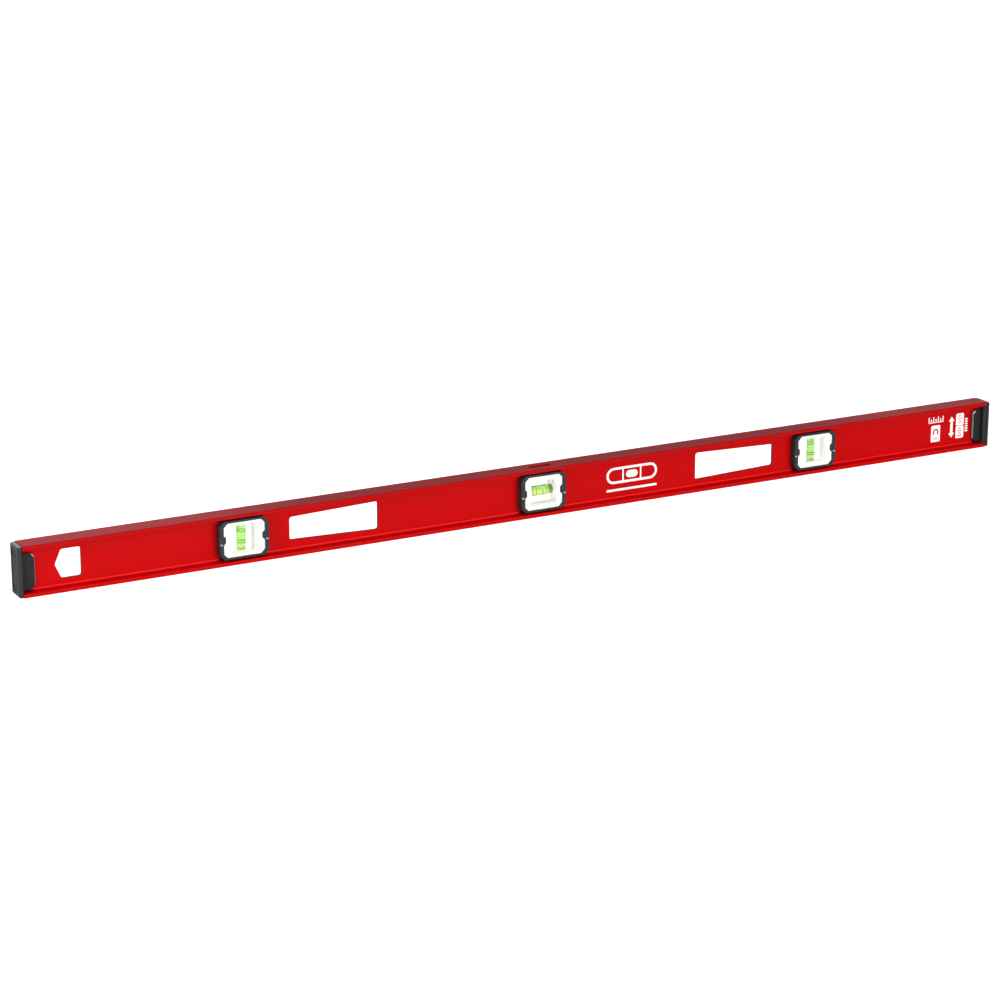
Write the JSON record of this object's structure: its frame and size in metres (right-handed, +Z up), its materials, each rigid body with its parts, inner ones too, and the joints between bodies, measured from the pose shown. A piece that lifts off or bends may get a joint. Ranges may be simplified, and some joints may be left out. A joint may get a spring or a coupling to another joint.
{
  "type": "spirit level",
  "caption": "Long red I-beam spirit level with a level vial in its middle, plumb vials towards both ends, hand holes, a hang hole, a magnetic lower edge and pull-off end caps.",
  "frame": {"origin": "middle of the lower working face, at the centre of the bounding box seen from above", "axes": "+X along the level to its right end, +Y to its rear, +Z up towards the upper working face"},
  "size_m": [1.2192, 0.0244, 0.0555],
  "materials": {
    "red_beam": "red powder coat, working faces milled",
    "magnet": "matte",
    "end_cap": "matte",
    "bezel": "fine texture",
    "carrier": "satin",
    "clear_lens": "polished, clear",
    "vial_acrylic": "polished, clear",
    "spirit": "clear green",
    "bubble": "clear",
    "ring": "printed"
  },
  "bodies": {
    "beam": {"i_beam": "red_beam", "left_plumb_front_bezel": "bezel", "left_plumb_front_carrier": "carrier", "left_plumb_front_lens": "clear_lens", "left_plumb_lower_ring": "ring", "left_plumb_rear_bezel": "bezel", "left_plumb_rear_carrier": "carrier", "left_plumb_rear_lens": "clear_lens", "left_plumb_upper_ring": "ring", "left_plumb_vial_fluid": "spirit", "left_plumb_vial_plug": "vial_acrylic", "left_plumb_vial_tube": "vial_acrylic", "level_front_bezel": "bezel", "level_front_carrier": "carrier", "level_front_lens": "clear_lens", "level_left_ring": "ring", "level_rear_bezel": "bezel", "level_rear_carrier": "carrier", "level_rear_lens": "clear_lens", "level_right_ring": "ring", "level_top_window": "clear_lens", "level_vial_fluid": "spirit", "level_vial_plug": "vial_acrylic", "level_vial_tube": "vial_acrylic", "magnet_strip": "magnet", "right_plumb_front_bezel": "bezel", "right_plumb_front_carrier": "carrier", "right_plumb_front_lens": "clear_lens", "right_plumb_lower_ring": "ring", "right_plumb_rear_bezel": "bezel", "right_plumb_rear_carrier": "carrier", "right_plumb_rear_lens": "clear_lens", "right_plumb_upper_ring": "ring", "right_plumb_vial_fluid": "spirit", "right_plumb_vial_plug": "vial_acrylic", "right_plumb_vial_tube": "vial_acrylic"},
    "left_plumb_bubble": {"left_plumb_vial_bubble": "bubble"},
    "level_bubble": {"level_vial_bubble": "bubble"},
    "right_plumb_bubble": {"right_plumb_vial_bubble": "bubble"},
    "left_end_cap": {"left_end_cap": "end_cap"},
    "right_end_cap": {"right_end_cap": "end_cap"}
  },
  "joints": [
    {"name": "level_bubble_slide", "type": "slide", "parent": "beam", "child": "level_bubble", "axis": [1, 0, 0], "range_m": [-0.0095, 0.0095], "stiffness_N_per_m": 0.05},
    {"name": "left_plumb_bubble_slide", "type": "slide", "parent": "beam", "child": "left_plumb_bubble", "axis": [0, 0, 1], "range_m": [-0.019, 0], "stiffness_N_per_m": 0.5, "springref_m": 0.02},
    {"name": "right_plumb_bubble_slide", "type": "slide", "parent": "beam", "child": "right_plumb_bubble", "axis": [0, 0, 1], "range_m": [-0.019, 0], "stiffness_N_per_m": 0.5, "springref_m": 0.02},
    {"name": "left_end_cap_pull", "type": "slide", "parent": "beam", "child": "left_end_cap", "axis": [-1, 0, 0], "range_m": [0, 0.02]},
    {"name": "right_end_cap_pull", "type": "slide", "parent": "beam", "child": "right_end_cap", "axis": [1, 0, 0], "range_m": [0, 0.02]}
  ]
}
